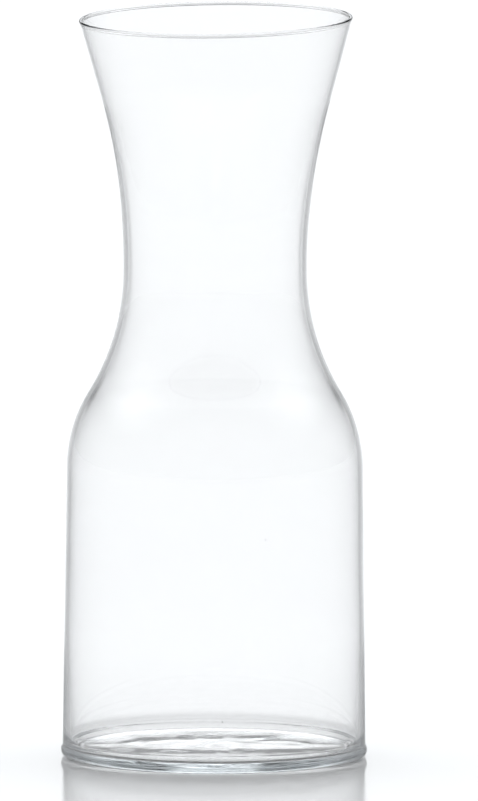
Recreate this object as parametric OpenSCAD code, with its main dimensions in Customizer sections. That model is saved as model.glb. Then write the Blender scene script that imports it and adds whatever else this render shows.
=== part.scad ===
// One-litre glass carafe, blown in one piece. Millimetres, +Z up.
// The origin is the middle of the standing ring, on the surface that the carafe stands on.

/* [Overall] */
// Height to the top of the lip
height = 254.4; // [246:0.2:266]
// Thickness of the glass in the wall and at the waist
wall = 1.6; // [1:0.1:2.6]

/* [Body] */
// Outer diameter where the wall runs into the shoulder
body_d = 101.4; // [92:0.2:112]
// Draft of the wall in degrees: the body widens towards the base
wall_draft = 0.7; // [0.1:0.1:1.4]
// Radius of the rounded shoulder, outside
shoulder_r = 50; // [36:0.5:62]
// Thickness of the wall at its foot
foot_wall = 2.6; // [1.4:0.1:3.6]
// Height below which the wall gets thicker
foot_h = 46; // [30:1:64]

/* [Neck and mouth] */
// Outer diameter of the neck at its waist
waist_d = 62.8; // [56:0.2:69]
// Height of the waist
waist_z = 169.5; // [158:0.5:176]
// Radius of the sweep from the shoulder up to the waist, outside
neck_r = 81; // [66:0.5:100]
// Half angle of the flared mouth in degrees
flare = 15.5; // [12:0.1:18.5]
// Outer diameter of the mouth over the lip
mouth_d = 93.6; // [87:0.2:99]
// Thickness of the glass below the lip: the wall thins from the waist up
rim_wall = 1.1; // [0.8:0.1:2]
// How much thicker the melted lip is than the glass below it
lip_swell = 0.2; // [0.1:0.1:1.2]

/* [Base] */
// How far the heel stands proud of the wall
heel_proud = 0.5; // [0.2:0.1:1.2]
// Radius of the heel
heel_r = 2.6; // [1.6:0.1:4]
// Width of the flat ring that the carafe stands on
ring_w = 3.2; // [1.5:0.1:6]
// Height of the hollow under the base
hollow_h = 2.4; // [1.6:0.1:4]
// Thickness of the glass in the middle of the base
base_t = 2; // [1.4:0.1:5]
// Radius inside, where the wall runs into the floor
floor_r = 4; // [2.5:0.1:10]

/* [Hidden] */
$fn = 180;

// How far each straight run or arc reaches into the arc that it blends with
bite = 0.005;
// How far the neck's sweep has its narrowest point below the throat's, so that the two arcs cross
waist_lap = 2;
// How deep the heel is ground flat where the carafe stands
ground = 0.06;
// How far cuts run past the glass
past = 20;

// Unit vectors square to the wall, outwards, and along and square to the flare
wall_out = [cos(wall_draft), sin(wall_draft)];
flare_up = [sin(flare), cos(flare)];
flare_in = [-cos(flare), sin(flare)];

// Middle of the lip, and the waist
lip_r = (rim_wall + lip_swell) / 2;
lip = [mouth_d / 2 - lip_r, height - lip_r];
waist_r = waist_d / 2;

// Neck sweep, and the shoulder that touches it
neck = [waist_r + neck_r, waist_z - waist_lap];
neck_to_shoulder = neck_r + shoulder_r - bite;
shoulder_x = body_d / 2 - shoulder_r * wall_out.x;
shoulder = [shoulder_x, neck.y - sqrt(neck_to_shoulder ^ 2 - (neck.x - shoulder_x) ^ 2)];
to_neck = (neck - shoulder) / neck_to_shoulder;

// Heel, and the ring that the carafe stands on
heel_z = heel_r - ground;
heel = [wall_x(heel_z, 0) + heel_proud - heel_r, heel_z];
ring_out = heel.x + sqrt(heel_r ^ 2 - heel_z ^ 2);

// Hollow under the base, as part of a sphere, and the domed floor over it
hollow_edge = ring_out - ring_w;
hollow_r = (hollow_edge ^ 2 + hollow_h ^ 2) / (2 * hollow_h);
hollow = [0, hollow_h - hollow_r];
dome_r = hollow_r + base_t;

// Inside of the foot, which leans in from the wall
knee = [wall_x(foot_h, wall), foot_h];
foot_lean = (wall_x(0, foot_wall) - knee.x) / foot_h;

// Round corner inside, between the foot and the domed floor
corner_to_dome = dome_r + floor_r - bite;
corner_x = foot_x(corner_z(foot_x(floor_r, floor_r)), floor_r);
corner = [corner_x, corner_z(corner_x)];
to_dome = (hollow - corner) / corner_to_dome;

// Radius of the wall at a height, on the surface that lies so far inside the outer one
function wall_x(z, inset) =
    let (top = shoulder + (shoulder_r - inset) * wall_out)
    top.x + (top.y - z) * tan(wall_draft);

// Radius of the inside of the foot at a height, or of the line that lies so far within it
function foot_x(z, inset) = knee.x + (foot_h - z) * foot_lean - inset * norm([1, foot_lean]);

// Height at which a corner with its middle at radius x touches the domed floor
function corner_z(x) = hollow.y + sqrt(corner_to_dome ^ 2 - x ^ 2);

// Point beside the middle of the lip on a surface, from the outer one to the inner one
function beside_lip(inset) = lip + (inset / wall - 1 / 2) * rim_wall * flare_in;

// Radius of the throat arc that joins the waist to the flare
function throat_r(inset) =
    let (rise = beside_lip(inset) - [waist_r - inset, waist_z])
    rise * flare_in / (1 - cos(flare));

// Middle of the throat arc
function throat(inset) = [waist_r - inset + throat_r(inset), waist_z];

// Straight-sided outline from the shoulder up to the mouth, which the arcs then round
function upper_outline(inset, beyond) =
    let (flare_foot = throat(inset) + (throat_r(inset) - bite) * flare_in)
    let (flare_len = (beside_lip(inset) - flare_foot) * flare_up)
    let (mouth = flare_foot + (flare_len + beyond) * flare_up)
    [
        shoulder + (shoulder_r - inset) * wall_out - [bite, 0],
        shoulder + (shoulder_r - inset) * to_neck,
        neck,
        flare_foot,
        mouth,
        [0, mouth.y + mouth.x * tan(flare)]
    ];

// Everything inside the surface that lies so far within the outer one
module vessel(inset, foot, beyond) {
    difference() {
        union() {
            polygon(concat(foot, upper_outline(inset, beyond)));
            intersection() {
                translate(shoulder) circle(shoulder_r - inset);
                square([body_d, height]);
            }
        }
        translate(neck) circle(neck_r + inset);
        intersection() {
            translate(throat(inset)) circle(throat_r(inset));
            translate([0, neck.y]) square(2 * throat_r(inset));
        }
    }
}

// Outer form, standing on the ground heel
module outside() {
    wall_foot = [wall_x(heel.y, 0), heel.y];
    difference() {
        union() {
            vessel(0, [[0, -past], [heel.x, -past], heel, wall_foot], 0);
            translate(heel) circle(heel_r);
        }
        translate([0, -2 * past]) square([body_d, 2 * past]);
    }
}

// Space for the drink, from the domed floor out through the mouth
module inside() {
    wall_foot = [foot_x(corner.y, bite), corner.y];
    dome_edge = corner + floor_r * to_dome;
    difference() {
        union() {
            vessel(wall, [[0, hollow_h], dome_edge, corner, wall_foot, knee - [bite, 0]], past);
            translate(corner) circle(floor_r);
        }
        translate(hollow) circle(dome_r);
    }
}

module glass_body() {
    color([0.86, 0.93, 0.95, 0.35])
    rotate_extrude() {
        difference() {
            outside();
            inside();
            translate(hollow) circle(hollow_r);
        }
        translate(lip) circle(lip_r);
    }
}

glass_body();
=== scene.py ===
import math

import bpy
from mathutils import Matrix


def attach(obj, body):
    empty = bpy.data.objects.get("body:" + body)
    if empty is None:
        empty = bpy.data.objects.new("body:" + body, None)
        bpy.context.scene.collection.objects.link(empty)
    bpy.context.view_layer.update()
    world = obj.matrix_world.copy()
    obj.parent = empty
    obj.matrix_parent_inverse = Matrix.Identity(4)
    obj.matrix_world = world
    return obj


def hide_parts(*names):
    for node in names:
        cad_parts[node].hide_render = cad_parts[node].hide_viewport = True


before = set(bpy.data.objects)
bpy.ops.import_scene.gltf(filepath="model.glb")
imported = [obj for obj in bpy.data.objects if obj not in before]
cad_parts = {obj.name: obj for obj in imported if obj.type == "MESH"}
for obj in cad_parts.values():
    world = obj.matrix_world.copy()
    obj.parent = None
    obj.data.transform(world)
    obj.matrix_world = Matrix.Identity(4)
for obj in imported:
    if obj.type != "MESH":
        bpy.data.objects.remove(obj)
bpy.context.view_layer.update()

# Glass body
# The whole carafe is one gather of clear soda-lime glass, blown into a turned mould: a thick base pushed up
# in the middle, a thin wall, a waisted neck and a flared mouth. The cut edge at the mouth is melted round in
# a flame. The mould smooths the outside, and the inside stays a little uneven, most of all the floor.
height = 0.2544
wall = 0.0016
rim_wall = 0.0011
foot_wall = 0.0026
foot_height = 0.046
body_radius = 0.0507
wall_draft = math.radians(0.7)
shoulder_radius = 0.05
waist_radius = 0.0314
throat_height = 0.1695
neck_height = 0.1675
neck_radius = 0.081
flare = math.radians(15.5)
mouth_radius = 0.0468
lip_radius = 0.00065
lip_blend = 0.002
heel_proud = 0.0005
heel_radius = 0.0026
heel_blend = 0.003
heel_ground = 0.00006
ring_width = 0.0032
hollow_height = 0.0024
base_thickness = 0.002
floor_radius = 0.004

# Spacing of the points on the outline, the number of steps round the axis, and how near points are welded
long_step = 0.0028
turn_step = math.radians(6)
end_step = 0.00006
steps_round = 240
weld = 0.000001


def along(point, direction, length):
    return (point[0] + direction[0] * length, point[1] + direction[1] * length)


def towards(angle):
    return (math.cos(angle), math.sin(angle))


def angle_from(start, end):
    return math.atan2(end[1] - start[1], end[0] - start[0])


def spread(length, step):
    count = math.ceil(length / step)
    inner = [end_step + (length - 2 * end_step) * i / count for i in range(count + 1)]
    return [0] + [place / length for place in inner] + [1]


def arc(middle, radius, first, last):
    shares = spread(abs(last - first) * radius, min(long_step, turn_step * radius))
    return [along(middle, towards(first + (last - first) * share), radius) for share in shares]


def line(start, end):
    shares = spread(math.dist(start, end), long_step)
    return [along(start, (end[0] - start[0], end[1] - start[1]), share) for share in shares[1:-1]]


# Middles of the arcs, each of which runs on smoothly from the last. The wall thins from the waist to the rim.
lip = (mouth_radius - lip_radius, height - lip_radius)
flare_out = (math.cos(flare), -math.sin(flare))


def throat_radius(waist, edge):
    reach = (waist - edge[0]) * math.cos(flare) + (edge[1] - throat_height) * math.sin(flare)
    return reach / (1 - math.cos(flare))


outer_throat_radius = throat_radius(waist_radius, along(lip, flare_out, rim_wall / 2))
inner_throat_radius = throat_radius(waist_radius - wall, along(lip, flare_out, -rim_wall / 2))
outer_throat_middle = (waist_radius + outer_throat_radius, throat_height)
inner_throat_middle = (waist_radius - wall + inner_throat_radius, throat_height)
neck = (waist_radius + neck_radius, neck_height)
shoulder_out = body_radius - shoulder_radius * math.cos(wall_draft)
neck_to_shoulder = neck_radius + shoulder_radius
shoulder = (shoulder_out, neck_height - math.sqrt(neck_to_shoulder ** 2 - (neck[0] - shoulder_out) ** 2))
neck_turn = angle_from(shoulder, neck)


def wall_at(z, inset):
    top = along(shoulder, towards(wall_draft), shoulder_radius - inset)
    return top[0] + (top[1] - z) * math.tan(wall_draft)


heel_middle = heel_radius - heel_ground
heel = (wall_at(heel_middle, 0) + heel_proud - heel_radius, heel_middle)
blend_out = wall_at(heel_middle + heel_blend, -heel_blend)
blend = (blend_out, heel[1] + math.sqrt((heel_radius + heel_blend) ** 2 - (blend_out - heel[0]) ** 2))
heel_turn = angle_from(heel, blend)
ring_out = heel[0] + math.sqrt(heel_radius ** 2 - heel_middle ** 2)
hollow_edge = ring_out - ring_width
hollow_radius = (hollow_edge ** 2 + hollow_height ** 2) / (2 * hollow_height)
hollow = (0, hollow_height - hollow_radius)
dome_radius = hollow_radius + base_thickness

# The wall gets thicker towards its foot, from the inside
foot_lean = (wall_at(0, foot_wall) - wall_at(foot_height, wall)) / foot_height


def inner_wall(z):
    depth = max(0, 1 - z / foot_height)
    return (wall_at(z, wall + (foot_wall - wall) * depth ** 2 * (2 - depth)), z)


def corner_height(out):
    return hollow[1] + math.sqrt((dome_radius + floor_radius) ** 2 - out ** 2)


def corner_out(z):
    foot_out = wall_at(foot_height, wall) + (foot_height - z) * foot_lean
    return foot_out - floor_radius * math.hypot(1, foot_lean)


corner_first = corner_height(corner_out(floor_radius))
corner = (corner_out(corner_first), corner_height(corner_out(corner_first)))
dome_turn = angle_from(hollow, corner)

# The lip swells a little out of the rim, and a hollow blends it into each face
lip_down = math.sqrt((lip_blend + lip_radius) ** 2 - (lip_blend + rim_wall / 2) ** 2)
lip_foot = along(lip, towards(-math.pi / 2 - flare), lip_down)
outer_lip = along(lip_foot, flare_out, lip_blend + rim_wall / 2)
inner_lip = along(lip_foot, flare_out, -lip_blend - rim_wall / 2)
lip_turn = math.atan2(lip_down, lip_blend + rim_wall / 2)

# Outline from the middle of the underside, out and up to the lip, then down the inside to the floor's middle
underside = arc(hollow, hollow_radius, math.pi / 2, math.acos(hollow_edge / hollow_radius))
standing_heel = arc(heel, heel_radius, -math.asin(heel_middle / heel_radius), heel_turn)
heel_to_wall = arc(blend, heel_blend, math.pi + heel_turn, math.pi + wall_draft)
outer_shoulder = arc(shoulder, shoulder_radius, wall_draft, neck_turn)
outer_neck = arc(neck, neck_radius, math.pi + neck_turn, math.pi)
outer_throat = arc(outer_throat_middle, outer_throat_radius, math.pi, math.pi - flare)
outer_lip_blend = arc(outer_lip, lip_blend, math.pi - flare, math.pi - flare - lip_turn)
rim = arc(lip, lip_radius, -flare - lip_turn, math.pi - flare + lip_turn)
inner_lip_blend = arc(inner_lip, lip_blend, lip_turn - flare, -flare)
inner_throat = arc(inner_throat_middle, inner_throat_radius, math.pi - flare, math.pi)
inner_neck = arc(neck, neck_radius + wall, math.pi, math.pi + neck_turn)
inner_shoulder = arc(shoulder, shoulder_radius - wall, neck_turn, wall_draft)
inner_corner = arc(corner, floor_radius, math.atan(foot_lean), dome_turn - math.pi)
side_top = inner_shoulder[-1][1]
side_length = side_top - inner_corner[0][1]
inner_side = [inner_wall(side_top - side_length * share) for share in spread(side_length, long_step)[1:-1]]
floor_dome = arc(hollow, dome_radius, dome_turn, math.pi / 2)
outline = underside + line(underside[-1], standing_heel[0]) + standing_heel + heel_to_wall[1:]
outline += line(heel_to_wall[-1], outer_shoulder[0]) + outer_shoulder + outer_neck[1:] + outer_throat
outline += line(outer_throat[-1], outer_lip_blend[0]) + outer_lip_blend + rim[1:] + inner_lip_blend[1:]
outline += line(inner_lip_blend[-1], inner_throat[0]) + inner_throat + inner_neck + inner_shoulder[1:]
outline += inner_side + inner_corner + floor_dome[1:]

# One vertex is drawn out along the outline, and the outline is spun round the axis
bpy.ops.object.select_all(action="DESELECT")
bpy.ops.mesh.primitive_plane_add(size=wall)
glass = bpy.context.object
glass.name = "blown_glass"
bpy.ops.object.mode_set(mode="EDIT")
bpy.ops.mesh.merge(type="CENTER")
bpy.ops.transform.translate(value=(outline[0][0], 0, outline[0][1]))
for start, end in zip(outline, outline[1:]):
    bpy.ops.mesh.extrude_region_move(
        TRANSFORM_OT_translate={"value": (end[0] - start[0], 0, end[1] - start[1])})
bpy.ops.mesh.select_all(action="SELECT")
bpy.ops.mesh.spin(steps=steps_round, angle=2 * math.pi, center=(0, 0, 0), axis=(0, 0, 1))
bpy.ops.mesh.select_all(action="SELECT")
bpy.ops.mesh.remove_doubles(threshold=weld)
bpy.ops.mesh.normals_make_consistent(inside=False)
bpy.ops.mesh.select_mode(type="VERT")
bpy.ops.mesh.select_all(action="DESELECT")
bpy.ops.object.mode_set(mode="OBJECT")
bpy.ops.object.shade_smooth()

# The inside is uneven: long soft waves up the wall, and a rippled floor that was pushed up while it was soft
wave_size, wave_depth, wave_fade = 0.03, 0.00008, 0.5
ripple_size, ripple_depth, ripple_fade = 0.013, 0.0005, 4
ripple_out = 0.043
cloud_layers = 1


def weigh(name, weight):
    group = glass.vertex_groups.new(name=name)
    for vertex in glass.data.vertices:
        share = weight(math.hypot(vertex.co.x, vertex.co.y), vertex.co.z)
        if share > 0:
            group.add([vertex.index], share, "REPLACE")


def floor_share(out, z):
    above = z - hollow[1] - math.sqrt(hollow_radius ** 2 - min(out, hollow_radius) ** 2)
    on_floor = out < ripple_out and z < throat_height / 2 and above > base_thickness / 2
    return 1 - (out / ripple_out) ** ripple_fade if on_floor else 0


def wall_share(out, z):
    inside = inner_side[-1][1] < z < side_top and out < wall_at(z, wall / 2)
    return math.sin(math.pi * (z - inner_side[-1][1]) / side_length) ** wave_fade if inside else 0


for name, share, size, depth, direction in (
        ("inside of the wall", wall_share, wave_size, wave_depth, "NORMAL"),
        ("floor", floor_share, ripple_size, ripple_depth, "Z")):
    weigh(name, share)
    cloud = bpy.data.textures.new(name, "CLOUDS")
    cloud.noise_scale = size
    cloud.noise_depth = cloud_layers
    bpy.ops.object.modifier_add(type="DISPLACE")
    uneven = glass.modifiers[-1]
    uneven.texture = cloud
    uneven.texture_coords = "LOCAL"
    uneven.direction = direction
    uneven.strength = depth
    uneven.vertex_group = name
    bpy.ops.object.modifier_apply(modifier=uneven.name)

# The mouth is not quite level: it was cut off by hand
slant = math.radians(0.9)
slant_reach = 0.08
for vertex in glass.data.vertices:
    vertex.select = vertex.co.z > height - 2 * lip_radius
bpy.ops.object.mode_set(mode="EDIT")
bpy.ops.transform.rotate(
    value=slant, orient_axis="Y", orient_type="GLOBAL", center_override=(0, 0, height),
    use_proportional_edit=True, proportional_edit_falloff="SMOOTH", proportional_size=slant_reach)
bpy.ops.mesh.select_all(action="DESELECT")

# Two seeds, small bubbles that the blowing drew out upwards, sit in the middle of the front wall
seed_radius = 0.00016
seed_draw = 2
seed_cuts = 2
seed_places = ((0.0174, 0.0804), (0.0028, 0.0181))
for seed_side, seed_height in seed_places:
    seed_out = (wall_at(seed_height, 0) + inner_wall(seed_height)[0]) / 2
    bpy.ops.mesh.primitive_ico_sphere_add(
        radius=seed_radius, subdivisions=seed_cuts, scale=(1, 1, seed_draw),
        location=(seed_side, -math.sqrt(seed_out ** 2 - seed_side ** 2), seed_height))
    bpy.ops.mesh.flip_normals()
    bpy.ops.mesh.faces_shade_smooth()
    bpy.ops.mesh.select_all(action="DESELECT")
bpy.ops.object.mode_set(mode="OBJECT")

# Clear glass: its gloss is uneven, drawn-out cords swell it a little, and its tint shows where it is thick
glass_ior = 1.52
film_scale, film_detail = 40, 3
film_from, film_to, film_rough = 0.45, 0.8, 0.025
cord_scale, cord_detail = 60, 1
cord_draw = (1, 1, 0.3)
cord_strength, cord_depth = 0.3, 0.00004
clear_white = (1, 1, 1, 1)
tint_colour = (0.905, 0.915, 0.92, 1)
tint_density = 50
glass_clear = bpy.data.materials.new("blown clear glass")
glass_clear.use_nodes = True
nodes = glass_clear.node_tree.nodes
links = glass_clear.node_tree.links
surface = nodes["Principled BSDF"]
surface.inputs["Base Color"].default_value = clear_white
surface.inputs["Transmission Weight"].default_value = 1
surface.inputs["IOR"].default_value = glass_ior
place = nodes.new("ShaderNodeTexCoord")
film = nodes.new("ShaderNodeTexNoise")
film.inputs["Scale"].default_value = film_scale
film.inputs["Detail"].default_value = film_detail
links.new(place.outputs["Object"], film.inputs["Vector"])
polish = nodes.new("ShaderNodeMapRange")
polish.inputs["From Min"].default_value = film_from
polish.inputs["From Max"].default_value = film_to
polish.inputs["To Max"].default_value = film_rough
links.new(film.outputs["Fac"], polish.inputs["Value"])
links.new(polish.outputs["Result"], surface.inputs["Roughness"])
drawn = nodes.new("ShaderNodeMapping")
drawn.inputs["Scale"].default_value = cord_draw
links.new(place.outputs["Object"], drawn.inputs["Vector"])
cords = nodes.new("ShaderNodeTexNoise")
cords.inputs["Scale"].default_value = cord_scale
cords.inputs["Detail"].default_value = cord_detail
links.new(drawn.outputs["Vector"], cords.inputs["Vector"])
swell = nodes.new("ShaderNodeBump")
swell.inputs["Strength"].default_value = cord_strength
swell.inputs["Distance"].default_value = cord_depth
links.new(cords.outputs["Fac"], swell.inputs["Height"])
links.new(swell.outputs["Normal"], surface.inputs["Normal"])
tint = nodes.new("ShaderNodeVolumeAbsorption")
tint.inputs["Color"].default_value = tint_colour
tint.inputs["Density"].default_value = tint_density
links.new(tint.outputs["Volume"], nodes["Material Output"].inputs["Volume"])
glass.data.materials.append(glass_clear)
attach(glass, "root")
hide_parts("glass_body")

# Floor
# A plain pale table top of acrylic with a soft gloss. It is the same all over, and wide enough that its far
# edge lies out of the camera's view.
floor_size = 12
floor_drop = 0.00005
floor_pale = (0.68, 0.68, 0.68, 1)
floor_gloss = 0.15
bpy.ops.object.select_all(action="DESELECT")
bpy.ops.mesh.primitive_plane_add(size=floor_size, location=(0, 0, -floor_drop))
table_top = bpy.context.object
table_top.name = "table_top"
pale = bpy.data.materials.new("pale acrylic")
pale.use_nodes = True
surface = pale.node_tree.nodes["Principled BSDF"]
surface.inputs["Base Color"].default_value = floor_pale
surface.inputs["Roughness"].default_value = floor_gloss
table_top.data.materials.append(pale)

# Light
# Soft light from the ceiling and the back of a white room. Behind the table a bright panel stands between two
# dark screens, which give the glass its dark edges, with a dim bar over the panel. Light runs a long way in
# the glass, so it may turn many times before it is lost.
cool_white = (0.965, 0.982, 1.0, 1)
room_glow = 2.25
front_glow = 0.45
screen_glow = 0.02
horizon_glow = 0.15
panel_glow = 1.65
side_glow = 0.55
foot_glow = 0.52
bar_glow = 0.3
panel_half, screen_start = 0.15, 0.25
screen_end, side_start = 0.45, 0.6
screen_foot, screen_low = 0.08, 0.16
screen_top, room_from = 0.3, 0.8
panel_low, panel_high = 0.05, 0.12
bar_low, bar_from = 0.19, 0.22
bar_to, bar_high = 0.28, 0.33
front_from, front_to = 0.3, -0.6
light_turns = 64
world = bpy.data.worlds.new("studio")
bpy.context.scene.world = world
world.use_nodes = True
nodes = world.node_tree.nodes
links = world.node_tree.links
way = nodes.new("ShaderNodeTexCoord")
axes = nodes.new("ShaderNodeSeparateXYZ")
links.new(way.outputs["Generated"], axes.inputs["Vector"])
aside = nodes.new("ShaderNodeMath")
aside.operation = "ABSOLUTE"
links.new(axes.outputs["X"], aside.inputs[0])


def soft_step(value, first, last, start, end):
    step = nodes.new("ShaderNodeMapRange")
    step.interpolation_type = "SMOOTHSTEP"
    links.new(value, step.inputs["Value"])
    step.inputs["From Min"].default_value = first
    step.inputs["From Max"].default_value = last
    for name, given in (("To Min", start), ("To Max", end)):
        if isinstance(given, bpy.types.NodeSocket):
            links.new(given, step.inputs[name])
        else:
            step.inputs[name].default_value = given
    return step.outputs["Result"]


panel = soft_step(axes.outputs["Z"], panel_low, panel_high, horizon_glow, panel_glow)
barred = soft_step(axes.outputs["Z"], bar_low, bar_from, panel, bar_glow)
middle = soft_step(axes.outputs["Z"], bar_to, bar_high, barred, room_glow)
screens = soft_step(axes.outputs["Z"], screen_foot, screen_low, foot_glow, screen_glow)
sides = soft_step(aside.outputs["Value"], screen_end, side_start, screens, side_glow)
around = soft_step(axes.outputs["Z"], screen_top, room_from, sides, room_glow)
back = soft_step(aside.outputs["Value"], panel_half, screen_start, middle, around)
lit = soft_step(axes.outputs["Y"], front_to, front_from, front_glow, back)
nodes["Background"].inputs["Color"].default_value = cool_white
links.new(lit, nodes["Background"].inputs["Strength"])
bpy.context.scene.view_settings.view_transform = "Standard"
bpy.context.scene.cycles.max_bounces = light_turns
bpy.context.scene.cycles.transmission_bounces = light_turns
bpy.context.scene.cycles.glossy_bounces = light_turns

# Camera
# A parallel view, as through a very long lens, looks down a little on the carafe, so that its mouth and base
# show as equally thin ovals. The frame leans by a hair, as the photograph does.
frame_height = 0.2739
look_down = math.radians(7.0)
lean = math.radians(0.14)
view_out = 0.00825
view_up = 0.1226
camera_distance = 4
bpy.ops.object.select_all(action="DESELECT")
camera_back = camera_distance * math.cos(look_down)
camera_up = view_up + camera_distance * math.sin(look_down)
bpy.ops.object.camera_add(
    location=(view_out, -camera_back, camera_up), rotation=(math.pi / 2 - look_down, 0, 0))
camera = bpy.context.object
camera.rotation_mode = "ZYX"
camera.rotation_euler.z = lean
camera.data.type = "ORTHO"
camera.data.ortho_scale = frame_height
bpy.context.scene.camera = camera
